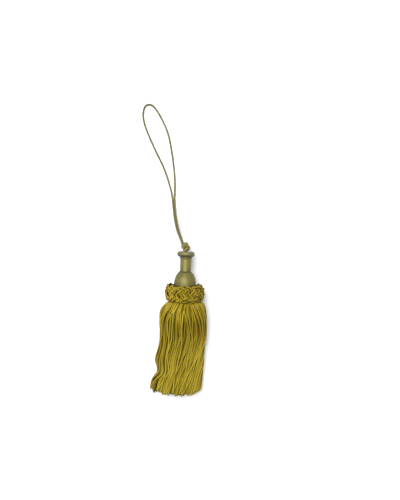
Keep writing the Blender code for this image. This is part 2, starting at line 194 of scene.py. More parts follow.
def makeFibreGroup():
    # Streaks of fibre are noise squeezed along the yarn. The plies' crowns are light and their grooves get
    # painted shade in the deep colour.
    tree, given, result = newGroup(
        "twistedFibre",
        [("Light", "NodeSocketColor", (0.6, 0.45, 0.1, 1.0)),
         ("Middle", "NodeSocketColor", (0.4, 0.3, 0.05, 1.0)),
         ("Deep", "NodeSocketColor", (0.1, 0.07, 0.01, 1.0)),
         ("Streak Size", "NodeSocketFloat", 0.12),
         ("Streak Length", "NodeSocketFloat", 4.0),
         ("Tone Spread", "NodeSocketFloat", 0.5),
         ("Groove Shade", "NodeSocketFloat", 0.7),
         ("Buried Shade", "NodeSocketFloat", 0.6),
         ("Lay Pitch", "NodeSocketFloat", 5.0),
         ("Lay Share", "NodeSocketFloat", 0.0)],
        [("Colour", "NodeSocketColor"), ("Roughness", "NodeSocketFloat"), ("Height", "NodeSocketFloat")],
    )
    fibre = addNode(tree, "ShaderNodeAttribute", attribute_name="fibre")
    crown = addNode(tree, "ShaderNodeAttribute", attribute_name="crown")
    tone = addNode(tree, "ShaderNodeAttribute", attribute_name="tone")
    facing = addNode(tree, "ShaderNodeAttribute", attribute_name="facing")
    fine = mathNode(tree, "DIVIDE", 1.0, given.outputs["Streak Size"])
    lengthwise = mathNode(tree, "DIVIDE", 1.0, given.outputs["Streak Length"])
    scale = addNode(tree, "ShaderNodeCombineXYZ")
    for socket, value in zip(scale.inputs, (fine, fine, lengthwise)):
        tree.links.new(value, socket)
    squeezed = addNode(tree, "ShaderNodeVectorMath", operation="MULTIPLY")
    tree.links.new(fibre.outputs["Vector"], squeezed.inputs[0])
    tree.links.new(scale.outputs[0], squeezed.inputs[1])
    shifted = addNode(tree, "ShaderNodeVectorMath", operation="ADD")
    apart = mathNode(tree, "MULTIPLY", tone.outputs["Fac"], 91.7)
    tree.links.new(squeezed.outputs[0], shifted.inputs[0])
    tree.links.new(apart, shifted.inputs[1])
    streak = addNode(tree, "ShaderNodeTexNoise", noise_dimensions="3D")
    streak.inputs["Scale"].default_value = 1.0
    streak.inputs["Detail"].default_value = 3.0
    streak.inputs["Roughness"].default_value = 0.6
    tree.links.new(shifted.outputs[0], streak.inputs["Vector"])
    drift = addNode(tree, "ShaderNodeTexNoise", noise_dimensions="3D")
    drift.inputs["Scale"].default_value = 55.0
    drift.inputs["Detail"].default_value = 1.0
    place = addNode(tree, "ShaderNodeTexCoord")
    tree.links.new(place.outputs["Object"], drift.inputs["Vector"])
    # two plies wound on round yarn stand as |cos(angle + turns along)|, as far as the lay share goes
    parts = addNode(tree, "ShaderNodeSeparateXYZ")
    tree.links.new(fibre.outputs["Vector"], parts.inputs[0])
    angle = mathNode(tree, "ARCTAN2", parts.outputs["Y"], parts.outputs["X"])
    turns = mathNode(tree, "DIVIDE", parts.outputs["Z"], given.outputs["Lay Pitch"])
    lay = mathNode(tree, "MULTIPLY", turns, fullTurn)
    wound = mathNode(tree, "ABSOLUTE", mathNode(tree, "COSINE", mathNode(tree, "ADD", angle, lay)))
    between = mathNode(tree, "MULTIPLY", mathNode(tree, "SUBTRACT", 1.0, wound), given.outputs["Lay Share"])
    # light where the streak is bright, moved by the yarn's own tone; the painted shade below leaves it light
    # only where the ply stands proud
    toneShift = mathNode(tree, "MULTIPLY", mathNode(tree, "SUBTRACT", tone.outputs["Fac"], 0.5),
                         given.outputs["Tone Spread"])
    driftShift = mathNode(tree, "MULTIPLY", mathNode(tree, "SUBTRACT", drift.outputs["Fac"], 0.5), 0.9)
    bright = mathNode(tree, "ADD", mathNode(tree, "ADD", streak.outputs["Fac"], toneShift), driftShift, True)
    body = mixColour(tree, bright, given.outputs["Middle"], given.outputs["Light"])
    # painted shade: the plies' grooves and the hollows between the wound plies go towards the deep colour
    hollow = mathNode(tree, "ADD", mathNode(tree, "SUBTRACT", 1.0, crown.outputs["Fac"]),
                      mathNode(tree, "MULTIPLY", between, 0.9))
    sunk = mathNode(tree, "MULTIPLY", hollow, given.outputs["Groove Shade"], True)
    sunk = mathNode(tree, "POWER", sunk, 1.6)
    colour = mixColour(tree, sunk, body, given.outputs["Deep"])
    # painted shade: the flanks that a yarn turns to its neighbours go deep as well
    buried = mathNode(tree, "SUBTRACT", 0.7, facing.outputs["Fac"], True)
    colour = mixColour(tree, mathNode(tree, "MULTIPLY", buried, given.outputs["Buried Shade"]), colour,
                       given.outputs["Deep"])
    tree.links.new(colour, result.inputs["Colour"])
    rough = mathNode(tree, "ADD", mathNode(tree, "MULTIPLY", streak.outputs["Fac"], 0.3), 0.28)
    rough = mathNode(tree, "ADD", rough, mathNode(tree, "MULTIPLY", sunk, 0.3))
    tree.links.new(rough, result.inputs["Roughness"])
    raised = mathNode(tree, "SUBTRACT", mathNode(tree, "MULTIPLY", streak.outputs["Fac"], 0.6), between)
    tree.links.new(raised, result.inputs["Height"])
    return tree


def yarnMaterial(name, finish):
    material = bpy.data.materials.new(name)
    material.use_nodes = True
    tree = material.node_tree
    shader = tree.nodes["Principled BSDF"]
    group = addNode(tree, "ShaderNodeGroup")
    group.node_tree = fibreGroup
    for label in ("Light", "Middle", "Deep"):
        group.inputs[label].default_value = (*finish[label.lower()], 1.0)
    group.inputs["Streak Size"].default_value = finish["streakSize"]
    group.inputs["Streak Length"].default_value = finish["streakLength"]
    group.inputs["Tone Spread"].default_value = finish["toneSpread"]
    group.inputs["Groove Shade"].default_value = finish["grooveShade"]
    group.inputs["Buried Shade"].default_value = finish["buriedShade"]
    group.inputs["Lay Share"].default_value = finish.get("layShare", 0.0)
    group.inputs["Lay Pitch"].default_value = finish.get("layPitch", 5.0)
    bump = addNode(tree, "ShaderNodeBump")
    bump.inputs["Strength"].default_value = finish["bump"]
    bump.inputs["Distance"].default_value = finish["bumpDistance"] * mm
    tree.links.new(group.outputs["Height"], bump.inputs["Height"])
    tree.links.new(group.outputs["Colour"], shader.inputs["Base Color"])
    tree.links.new(group.outputs["Roughness"], shader.inputs["Roughness"])
    tree.links.new(bump.outputs["Normal"], shader.inputs["Normal"])
    shader.inputs["Specular IOR Level"].default_value = finish["gloss"]
    shader.inputs["Specular Tint"].default_value = (*finish["glossTint"], 1.0)
    return material


fibreGroup = makeFibreGroup()
print("fibre group ready")


# the cord: one length, doubled from the knot and opened into a loop, as the model's own route has it
cord = dict(
    diameter=2.0,
    legSpacing=2.2,
    restHeight=1.05,
    insideKnot=0.8,         # how far each end runs on inside the knot
    twistPitch=9.0,
    step=0.5,
    sides=12,
    groove=0.3,
    pair=(                  # x, y, z of the two legs' middle, and their turn about each other
        (-2.8, 51.8, 18.2, 240), (-3.6, 54.1, 17.4, 238), (-5.1, 57.8, 15.0, 234), (-6.7, 61.9, 11.9, 229),
        (-8.0, 66.5, 8.4, 223), (-9.1, 71.4, 5.3, 221), (-10.0, 76.8, 3.2, 220), (-10.7, 82.4, 2.1, 218),
        (-11.3, 88.4, 1.75, 213), (-11.8, 95.0, 1.4, 198)),
    loop=(                  # x, y on the surface, up the right leg, round the top and down the left leg
        (-10.5, 102.2), (-10.4, 110.3), (-10.8, 119.5), (-11.7, 128.8), (-12.8, 138.0), (-14.4, 147.7),
        (-16.1, 156.9), (-18.5, 165.1), (-21.7, 172.6), (-25.0, 179.1), (-28.2, 184.5), (-31.4, 188.9),
        (-35.3, 191.6), (-39.3, 191.2), (-42.0, 187.6), (-42.9, 181.8), (-42.2, 174.8), (-40.0, 167.2),
        (-36.8, 159.3), (-33.2, 151.1), (-29.2, 142.5), (-25.1, 134.1), (-21.3, 125.8), (-18.3, 117.5),
        (-15.9, 109.3), (-14.0, 102.2)),
    finish=dict(light=(0.235, 0.22, 0.08), middle=(0.11, 0.1, 0.03), deep=(0.02, 0.016, 0.003),
                streakSize=0.10, streakLength=2.5, toneSpread=0.2, grooveShade=1.15, buriedShade=0.7,
                bump=0.5, bumpDistance=0.06, gloss=0.5, glossTint=(1.0, 0.9, 0.5)),
)


def cordRoute():
    # The two legs lie half a spacing to each side of the pair's middle, square to the way it runs
    pair = np.array(cord["pair"], float)
    middles = pair[:, :3]
    before = np.vstack([middles[:1], middles[:-2]])
    run = unit(np.vstack([middles[1:] - before, middles[-1:] - middles[-2:-1]]))
    side = unit(np.cross(run, (0.0, 0.0, 1.0)))
    up = np.cross(side, run)
    turn = np.radians(pair[:, 3:])
    offset = (-side * np.cos(turn) - up * np.sin(turn)) * cord["legSpacing"] / 2.0
    loop = np.array([(x, y, cord["restHeight"]) for x, y in cord["loop"]])
    return np.vstack([middles + offset, loop, (middles - offset)[::-1]])


def makeCord():
    route = cordRoute()
    inward = np.array((0.66, -0.75, 0.0)) * cord["insideKnot"]
    route = np.vstack([route[:1] + inward, route, route[-1:] + inward])
    line, length = smoothLine(route, cord["step"])
    line[:, 2] = np.maximum(line[:, 2], cord["restHeight"])
    turn = fullTurn * np.linspace(0.0, length / cord["twistPitch"], len(line))[None]
    grid = pliedSurface(line[None], (0.0, 0.0, 1.0), cord["diameter"] / 2.0, cord["sides"], 3, turn,
                        cord["groove"])
    piece = meshPiece("cordLoop", [dict(grid, tone=0.5)], yarnMaterial("cordFinish", cord["finish"]))
    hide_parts("cord_loop")
    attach(piece, "root")
    print(f"cord laid: {length:.1f} mm")


# the head's frame: its axis lies level, its top turned a little to the right
head = dict(
    axisHeight=18.2,
    lean=2.0,
    sides=96,
    rimMiddle=38.7, rimHalf=2.6, rimInner=6.1, rimReach=2.6,
    boreRadius=2.9, boreDepth=4.0,
    neck=5.35, neckFlare=0.75, neckTop=36.2, neckFoot=21.6,
    shoulder=6.45, shoulderPlace=20.9,
    ballMiddle=9.0, ballRadius=10.9, ballHalf=14.8, ballFoot=-3.3,
)


def onHead(across, down, along):
    # Turns places in the head's frame, whose axis runs through the rim, into places on the surface
    lean = math.radians(head["lean"])
    x = across * math.cos(lean) + along * math.sin(lean)
    y = -across * math.sin(lean) + along * math.cos(lean)
    return np.stack(np.broadcast_arrays(x, y, head["axisHeight"] - down), axis=-1)


def headProfile():
    # From the bore's floor: up the bore, round the rim as a half ellipse, down the neck, which flares as a
    # cosine under the rim, over a crisp shoulder and down the ball, an ellipse about its own middle
    rimTop = head["rimMiddle"] + head["rimHalf"]
    bore = [(0.02, rimTop - head["boreDepth"]), (head["boreRadius"] * 0.96, rimTop - head["boreDepth"]),
            (head["boreRadius"], rimTop - 0.5), (head["boreRadius"] + 0.35, rimTop - 0.08)]
    face = [(head["rimInner"] - 1.4, rimTop + 0.02), (head["rimInner"] - 0.4, rimTop)]
    swing = np.radians(np.linspace(86, -80, 22))
    rim = np.stack([head["rimInner"] + head["rimReach"] * np.cos(swing) ** 0.8,
                    head["rimMiddle"] + head["rimHalf"] * np.sin(swing)], axis=1)
    fall = np.linspace(0.0, 1.0, 26)
    flare = head["neckFlare"] * (0.5 + 0.5 * np.cos(math.pi * np.minimum(fall / 0.22, 1.0)))
    foot = 0.18 * np.maximum(0.0, (fall - 0.9) / 0.1) ** 2
    neck = np.stack([head["neck"] + flare + foot,
                     head["neckTop"] + (head["neckFoot"] - head["neckTop"]) * fall], axis=1)
    start = math.acos(head["shoulder"] / head["ballRadius"])
    stop = math.asin((head["ballFoot"] - head["ballMiddle"]) / head["ballHalf"])
    step = [(head["neck"] + 0.45, head["neckFoot"] - 0.35),
            (head["shoulder"] - 0.25, head["shoulderPlace"] + 0.06)]
    swing = np.linspace(start, stop, 34)
    ball = np.stack([head["ballRadius"] * np.cos(swing),
                     head["ballMiddle"] + head["ballHalf"] * np.sin(swing)], axis=1)
    return np.vstack([bore, face, rim, neck, step, ball, [(0.02, head["ballFoot"])]])


def makeHead():
    profile = headProfile()
    turn = -fullTurn * np.arange(head["sides"]) / head["sides"]
    radius, along = profile[:, :1], profile[:, 1:]
    points = onHead(radius * np.cos(turn), radius * np.sin(turn), along)[None]
    place, dark = np.array(paint["paintedShade"]).T
    along = np.broadcast_to(along, points.shape[1:3])[None]
    grid = dict(points=points, along=along, paintedShade=np.interp(along, place, dark))
    piece = meshPiece("turnedHead", [grid], woodMaterial())
    piece.data.set_sharp_from_angle(angle=math.radians(48))
    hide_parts("wood_head")
    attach(piece, "root")


paint = dict(
    light=(0.265, 0.236, 0.06), middle=(0.15, 0.131, 0.03), deep=(0.04, 0.033, 0.007),
    metallic=0.35, gloss=0.45,
    cloudScale=160.0, speckScale=1500.0, ringScale=2.4, wornFrom=0.45, wornGain=1.6,
    bump=0.35, bumpDistance=0.15,
    # painted shade: share of the deep colour at places along the axis, over the ball, at the shoulder's step,
    # under the rim's flare and at the bore's mouth
    paintedShade=((-4.0, 0.45), (6.0, 0.32), (12.0, 0.12), (19.5, 0.15), (20.8, 0.5), (22.0, 0.3), (24.0, 0.0),
             (34.0, 0.0), (36.0, 0.45), (37.2, 0.35), (38.4, 0.0), (40.5, 0.0), (41.4, 0.3)),
    edgeDark=0.75,          # how far the colour goes deep where the wood turns away
    handled=(0.18, 0.174, 0.099),       # greyer towards the rim
    handledFrom=33.0, handledTo=38.0, handledShare=0.6,
)


def woodMaterial():
    material = bpy.data.materials.new("goldPaint")
    material.use_nodes = True
    tree = material.node_tree
    shader = tree.nodes["Principled BSDF"]
    place = addNode(tree, "ShaderNodeTexCoord")
    along = addNode(tree, "ShaderNodeAttribute", attribute_name="along")
    cloud = addNode(tree, "ShaderNodeTexNoise")
    cloud.inputs["Scale"].default_value = paint["cloudScale"]
    cloud.inputs["Detail"].default_value = 4.0
    tree.links.new(place.outputs["Object"], cloud.inputs["Vector"])
    speck = addNode(tree, "ShaderNodeTexNoise")
    speck.inputs["Scale"].default_value = paint["speckScale"]
    speck.inputs["Detail"].default_value = 2.0
    tree.links.new(place.outputs["Object"], speck.inputs["Vector"])
    rings = addNode(tree, "ShaderNodeTexNoise", noise_dimensions="1D")
    rings.inputs["Scale"].default_value = paint["ringScale"]
    rings.inputs["Detail"].default_value = 5.0
    tree.links.new(along.outputs["Fac"], rings.inputs["W"])
    body = mixColour(tree, cloud.outputs["Fac"], (*paint["middle"], 1.0), (*paint["light"], 1.0))
    handled = addNode(tree, "ShaderNodeMapRange", interpolation_type="SMOOTHSTEP")
    handled.inputs["From Min"].default_value = paint["handledFrom"]
    handled.inputs["From Max"].default_value = paint["handledTo"]
    handled.inputs["To Max"].default_value = paint["handledShare"]
    tree.links.new(along.outputs["Fac"], handled.inputs["Value"])
    body = mixColour(tree, handled.outputs["Result"], body, (*paint["handled"], 1.0))
    wearAndShade = mathNode(tree, "SUBTRACT", rings.outputs["Fac"], paint["wornFrom"], True)
    wearAndShade = mathNode(tree, "MULTIPLY", wearAndShade, paint["wornGain"], True)
    # painted shade along the axis joins the wear of the rings
    paintedShade = addNode(tree, "ShaderNodeAttribute", attribute_name="paintedShade")
    wearAndShade = mathNode(tree, "ADD", wearAndShade, paintedShade.outputs["Fac"])
    # painted shade: the colour goes towards the deep colour where the surface turns away from the view
    away = addNode(tree, "ShaderNodeLayerWeight")
    away.inputs["Blend"].default_value = 0.35
    turned = mathNode(tree, "MULTIPLY", away.outputs["Facing"], paint["edgeDark"])
    wearAndShade = mathNode(tree, "ADD", wearAndShade, turned, True)
    colour = mixColour(tree, wearAndShade, body, (*paint["deep"], 1.0))
    tree.links.new(colour, shader.inputs["Base Color"])
    rough = mathNode(tree, "ADD", mathNode(tree, "MULTIPLY", cloud.outputs["Fac"], 0.25), 0.42)
    tree.links.new(rough, shader.inputs["Roughness"])
    height = mathNode(tree, "ADD", mathNode(tree, "MULTIPLY", rings.outputs["Fac"], 0.7),
                      mathNode(tree, "MULTIPLY", speck.outputs["Fac"], 0.3))
    bump = addNode(tree, "ShaderNodeBump")
    bump.inputs["Strength"].default_value = paint["bump"]
    bump.inputs["Distance"].default_value = paint["bumpDistance"] * mm
    tree.links.new(height, bump.inputs["Height"])
    tree.links.new(bump.outputs["Normal"], shader.inputs["Normal"])
    shader.inputs["Metallic"].default_value = paint["metallic"]
    shader.inputs["Specular IOR Level"].default_value = paint["gloss"]
    return material


# the ruff: pairs of cord plaited in five leads round a wound ring
ruff = dict(
    bights=17, leads=5, cords=2,
    middle=0.8,             # from the ring's outer middle to the plait's, towards the head
    swing=5.9,              # from the plait's middle to the middle of a lead at its edge
    uneven=0.95,            # mm that the leads stray from their even course
    rise=0.4, sag=0.7,      # mm that the whole ruff is moved up the head, and its sides up and its top down
    cordDiameter=2.25, cordSpacing=2.25,
    lift=1.1,               # up or down from the ring's height where leads cross
    turn=0.05,              # radians that the plait starts on from the ring's right side
    seed=5,
    stepsPerTurn=520, sides=12, twistPitch=8.0, groove=0.15,
    section=((17.5, -1.3), (17.3, 1.8), (16.3, 4.8), (14.4, 6.9), (12.4, 7.4), (11.5, 5.2), (11.5, -4.6),
             (12.4, -7.0), (14.5, -8.0), (16.6, -6.6)),      # out from the axis, and along it
    coreDrop=1.3, coreSteps=200, coreSides=48, coreWinds=100, coreWave=0.12,
    finish=dict(light=(0.485, 0.36, 0.034), middle=(0.07, 0.037, 0.0004), deep=(0.008, 0.003, 0.0001),
                streakSize=0.12, streakLength=3.0, toneSpread=0.5, grooveShade=0.7, buriedShade=2.1, bump=0.5,
                bumpDistance=0.07, gloss=0.25, glossTint=(1.0, 0.8, 0.1)),
)


def ruffSection():
    # The ring's outline as a closed smooth curve, with its distance run, both ways from its outer middle
    corners = np.array(ruff["section"])
    closed = np.vstack([corners[-2:], corners, corners[:3]])
    line, length = smoothLine(closed, 0.1)
    first = np.argmin(np.linalg.norm(line[: len(line) // 2] - corners[0], axis=1))
    last = len(line) // 2 + np.argmin(np.linalg.norm(line[len(line) // 2:] - corners[0], axis=1))
    line = line[first:last]
    run = unit(np.roll(line, -1, axis=0) - np.roll(line, 1, axis=0))
    normal = np.stack([run[:, 1], -run[:, 0]], axis=1)
    step = np.linalg.norm(np.diff(line, axis=0), axis=1)
    place = np.concatenate([[0.0], np.cumsum(step)])
    return line, normal, place, place[-1] + step[-1]


def ruffShift(turn):
    # Rise + sag * cos(2 * turn): the sides of the ring, at turns 0 and 180 degrees, ride highest
    return ruff["rise"] + ruff["sag"] * np.cos(2.0 * turn)


def makeRuff():
    # A lead runs at middle + swing * sin(phase) across the ring's outline, where phase is bights / leads
    # times the turn, and goes over and under as tanh(1.6 * sin((leads - 1) * phase))
    line, normal, place, length = ruffSection()
    twoWays = np.concatenate([place - length, place])
    radiusAt, alongAt = np.tile(line[:, 0], 2), np.tile(line[:, 1], 2)
    normalAt = np.tile(normal, (2, 1))
    turn = np.linspace(0.0, fullTurn * ruff["leads"], ruff["stepsPerTurn"] * ruff["leads"], endpoint=False)
    swings = ruff["bights"] / ruff["leads"]
    phase = swings * (turn + ruff["turn"])
    ringRadius = ruff["section"][0][0]
    across = ruff["middle"] + ruff["swing"] * np.sin(phase)
    slope = ruff["swing"] * swings * np.cos(phase) / ringRadius
    steep = np.hypot(1.0, slope)
    dice = np.random.default_rng(ruff["seed"])
    waves = [ruff["uneven"] * 0.6 * np.sin(turn / ruff["leads"] * count + dice.uniform(0, fullTurn))
             for count in (23, 38, 61)]
    stray, strayHeight = sum(waves[:2]), waves[2]
    lines, outward = [], []
    for cordIndex in range(ruff["cords"]):
        aside = (cordIndex - (ruff["cords"] - 1) / 2.0) * ruff["cordSpacing"]
        wobble = 0.25 * np.sin(turn * (7 + 2 * cordIndex) + dice.uniform(0, fullTurn))
        cordTurn = turn - aside * slope / steep / ringRadius
        cordAcross = across + stray + aside / steep + wobble
        over = np.tanh(1.6 * np.sin((ruff["leads"] - 1.0) * phase))
        height = ruff["lift"] * over / 0.92 + 0.5 * strayHeight
        height += 0.5 * np.sin(turn * (11 + 3 * cordIndex) + dice.uniform(0, fullTurn))
        nx, ny = (np.interp(cordAcross, twoWays, normalAt[:, axis]) for axis in (0, 1))
        r = np.interp(cordAcross, twoWays, radiusAt) + nx * height
        along = np.interp(cordAcross, twoWays, alongAt) + ny * height + ruffShift(cordTurn)
        spot = onHead(r * np.cos(cordTurn), r * np.sin(cordTurn), along)
        floor = ruff["cordDiameter"] / 2.0
        spot[:, 2] = np.maximum(spot[:, 2], floor)
        lines.append(spot)
        outward.append(onHead(nx * np.cos(cordTurn), nx * np.sin(cordTurn), ny)
                       - (0, 0, head["axisHeight"]))
    lines = np.stack(lines)
    length = np.linalg.norm(np.diff(lines[0], axis=0), axis=1).sum()
    turns = round(length / ruff["twistPitch"])
    twist = fullTurn * turns * np.linspace(0.0, 1.0, lines.shape[1], endpoint=False)
    twist = twist + np.arange(ruff["cords"])[:, None]
    grid = pliedSurface(lines, np.stack(outward), ruff["cordDiameter"] / 2.0, ruff["sides"], 3, twist,
                        ruff["groove"], closed=True)
    grid["points"][..., 2] = np.maximum(grid["points"][..., 2], 0.02)
    tone = np.linspace(0.3, 0.7, ruff["cords"])[:, None, None]
    material = yarnMaterial("ruffFinish", ruff["finish"])
    piece = meshPiece("ruffPlait", [dict(grid, tone=tone)], material, closedAlong=True)
    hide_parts("ruff")
    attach(piece, "root")
    makeRuffCore(line, normal, material)


def makeRuffCore(line, normal, material):
    # The wound ring under the plait: the ring's outline drawn in by the plait's depth, turned round the axis
    pick = np.linspace(0, len(line), ruff["coreSides"], endpoint=False).astype(int)
    outer = np.clip(normal[pick, 0] + 0.3, 0.0, 1.0)
    radius = line[pick, 0] - normal[pick, 0] * ruff["coreDrop"] * outer
    along = line[pick, 1] - normal[pick, 1] * ruff["coreDrop"] * outer
    turn = fullTurn * np.arange(ruff["coreSteps"]) / ruff["coreSteps"]
    wound = ruff["coreWave"] * np.cos(turn * ruff["coreWinds"])[:, None]
    radius = radius + wound
    points = onHead(radius * np.cos(turn)[:, None], radius * np.sin(turn)[:, None],
                    along + ruffShift(turn)[:, None])
    points[..., 2] = np.maximum(points[..., 2], 0.3)
    fibre = np.stack(np.broadcast_arrays(turn[:, None] * 17.0, 0.0, along), axis=-1)
    # painted shade: crown 0.6, tone 0.1 and facing 0.3 turn the core mostly to the deep colour, the shade
    # under the plait
    piece = meshPiece("ruffCore", [dict(points=points[None, :, ::-1], crown=0.6, fibre=fibre[None, :, ::-1],
                                        tone=0.1, facing=0.3)], material, closedAlong=True)
    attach(piece, "root")


# the knot: an overhand knot in the doubled cord, its tails going down into the head's bore
knot = dict(
    centre=(1.2, 45.7, 18.1),
    ringRadius=2.35, waveIn=1.3, waveUp=1.3,    # of the trefoil that the knot is an opened form of
    openLobe=210.0,         # the way the lobe faces at which it is opened, where the cord comes and goes
    openHalf=0.3,
    apart=1.9,              # from one cord to the other, one above the other but for a sway
    sway=0.6,
    cordRadius=1.0,
    twistPitch=8.0, groove=0.28, sides=12,
    finish=dict(light=(0.4, 0.365, 0.13), middle=(0.1, 0.09, 0.02), deep=(0.008, 0.006, 0.001),
                toneSpread=1.0, buriedShade=2.0),       # the rest as on the cord
)


def makeKnot():
    # The trefoil is (ring + in * cos(3t)) round the ring at the angle 2t, up and down by up * sin(3t)
    t = np.linspace(knot["openHalf"], fullTurn - knot["openHalf"], 40)
    reach = knot["ringRadius"] + knot["waveIn"] * np.cos(3.0 * t)
    angle = 2.0 * t + math.radians(knot["openLobe"])
    trefoil = np.stack([reach * np.cos(angle), reach * np.sin(angle), knot["waveUp"] * np.sin(3.0 * t)],
                       axis=1)
    trefoil += knot["centre"]
    rimTop = head["rimMiddle"] + head["rimHalf"]
    top = np.array(cord["pair"][0][:3])
    down = [onHead(-0.3, 0.0, rimTop + 0.6), onHead(0.0, 0.0, rimTop - 1.5),
            onHead(0.0, 0.0, rimTop - head["boreDepth"] + 0.4)]
    middle, length = smoothLine(np.vstack([top + (-0.15, 0.4, 0.0), top, trefoil, down]), 0.2)
    run = unit(np.gradient(middle, axis=0))
    side = unit(np.cross(run, (0.0, 0.0, 1.0)))
    up = np.cross(side, run)
    along = np.linspace(0.0, 1.0, len(middle))
    start = math.radians(270.0 - cord["pair"][0][3])
    lean = np.interp(along, (0.0, 0.15, 0.3), (start, start, 0.0)) + knot["sway"] * np.sin(
        fullTurn * 1.5 * along) * np.clip(along * 6.0 - 1.0, 0.0, 1.0)
    offset = (up * np.cos(lean)[:, None] + side * np.sin(lean)[:, None]) * knot["apart"] / 2.0
    offset *= np.interp(along, (0.0, 0.1, 1.0), (cord["legSpacing"] / knot["apart"], 1.0, 1.0))[:, None]
    lines = np.stack([middle + offset, middle - offset])
    turn = np.broadcast_to(fullTurn * along * length / knot["twistPitch"], lines.shape[:2])
    grid = pliedSurface(lines, (0.02, 0.03, 1.0), knot["cordRadius"], knot["sides"], 3, turn, knot["groove"])
    finish = dict(cord["finish"], **knot["finish"])
    tone = np.interp(along, (0.0, 0.12), (0.2, 0.65))[:, None]
    piece = meshPiece("cordKnot", [dict(grid, tone=tone)], yarnMaterial("knotFinish", finish))
    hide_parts("cord_knot")
    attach(piece, "root")


# the skirt: rings of two-ply yarn from the head's foot to the cut ends
skirt = dict(
    ringCounts=(68, 62, 50, 36),
    yarnRadius=0.8,
    controlSteps=30,
    sweeps=90,
    wander=0.6,             # mm that most yarns stray sideways, as a spread
    strayShare=0.5,         # share of the outer yarns that cross over their neighbours
    strayReach=2.0,
    strayLift=1.1,
    bends=5,                # places down a yarn between which it runs nearly straight
    swirl=9.0,              # mm round the outline that all the ends have turned, those on top to the left
    fan=((-7.0, 0.045), (-14.0, 0.036), (-26.0, 0.0), (-42.0, -0.034), (-56.0, -0.024), (-80.0, 0.0),
         (-107.0, 0.0)),    # share of the way round that the yarns are drawn to the top, down the skirt
    clump=0.6, clumpYarns=2.7,      # mm that yarns draw together below the bulge, and how many to a clump
    tuftYarns=32, tuftReach=5.4, tuftFrom=-79.5,        # the ends splayed out at the left corner
    tuftLength=8.0, tuftShort=1.8,
    bulgeMiddle=-42.0, bulgeHalf=14.0,      # where the clumps draw together most
    seed=31,
    raggedEnd=3.2,
    cornerShort=4.4,
    lengthEnd=-103.3,
    twistPitch=14.0,
    detailed=dict(steps=80, sides=8),
    plain=dict(steps=50, sides=6),
    sections=dict(
        y=(-7.0, -10.0, -13.2, -18.6, -27.0, -36.0, -46.0, -56.0, -67.0, -77.0, -87.0, -95.0, -106.0),
        left=(-12.4, -18.6, -21.9, -24.2, -24.9, -25.1, -24.9, -26.5, -28.3, -27.0, -28.6, -29.6, -30.4),
        right=(11.8, 18.0, 20.0, 21.1, 21.6, 21.3, 20.7, 20.0, 18.9, 18.1, 17.2, 16.4, 15.4),
        bottom=(7.7, 2.2, 0.2, 0.0, 0.0, 0.0, 0.0, 0.0, 0.0, 0.0, 0.0, 0.0, 0.0),
        belly=(18.2, 18.2, 18.0, 17.0, 15.2, 13.0, 11.2, 9.8, 8.9, 8.2, 7.7, 7.4, 7.2),
        top=(28.7, 34.4, 37.2, 38.2, 36.6, 31.8, 26.4, 22.6, 20.2, 18.7, 17.3, 16.4, 15.6),
        flatTop=(2.0, 2.0, 2.0, 2.1, 2.2, 2.2, 2.3, 2.3, 2.4, 2.4, 2.4, 2.4, 2.4),
        flatBottom=(2.0, 2.2, 2.5, 3.0, 3.4, 3.7, 3.9, 4.0, 4.1, 4.2, 4.3, 4.4, 4.4),
        pitch=(1.9, 2.3, 2.7, 3.1, 3.1, 2.8, 2.5, 2.3, 2.1, 1.95, 1.85, 1.8, 1.75),
    ),
    # painted light and shade down the skirt: the tone is painted darker near the ruff and under the bulge,
    # lighter towards the ends
    endTone=0.38,           # how much lighter the yarn grows from the ruff to the ends
    bellyShade=0.3,          # how much darker it is where it falls away under the bulge
    bellyMiddle=-36.0, bellyHalf=11.0,
    finish=dict(light=(0.41, 0.325, 0.034), middle=(0.235, 0.16, 0.005), deep=(0.055, 0.027, 0.0005),
                streakSize=0.13, streakLength=5.0, toneSpread=0.7, grooveShade=0.55, buriedShade=0.85,
                layShare=0.9, layPitch=4.4, bump=0.6, bumpDistance=0.16, gloss=0.3,
                glossTint=(1.0, 0.82, 0.2)),
)


def skirtSections(count):
    # The sections' sizes at even steps down the skirt, on smooth curves through the table
    table = skirt["sections"]
    keys = sorted(key for key in table if key != "y")
    line, _ = smoothLine(np.stack([table["y"]] + [table[key] for key in keys], axis=1), 0.5)
    y = np.linspace(table["y"][0], table["y"][-1], count)
    order = np.argsort(line[:, 0])
    sizes = {key: np.interp(y, line[order, 0], line[order, 1 + place]) for place, key in enumerate(keys)}
    return y, sizes


def outlinePoint(sizes, k, angle, depth):
    # A superellipse about (middle, belly), as wide as left to right, drawn in by depth: |cos|^(2 / flat) of
    # half the width across, |sin|^(2 / flat) of the reach above or below
    across, up = np.cos(angle), np.sin(angle)
    above = up > 0.0
    flat = np.where(above, sizes["flatTop"][k], sizes["flatBottom"][k])
    belly = sizes["belly"][k]
    reach = np.where(above, sizes["top"][k] - belly, belly - sizes["bottom"][k]) - depth
    half = (sizes["right"][k] - sizes["left"][k]) / 2.0 - depth
    x = (sizes["left"][k] + sizes["right"][k]) / 2.0 + half * np.sign(across) * np.abs(across) ** (2.0 / flat)
    z = belly + reach * np.sign(up) * np.abs(up) ** (2.0 / flat)
    return np.stack([x, z], axis=-1)


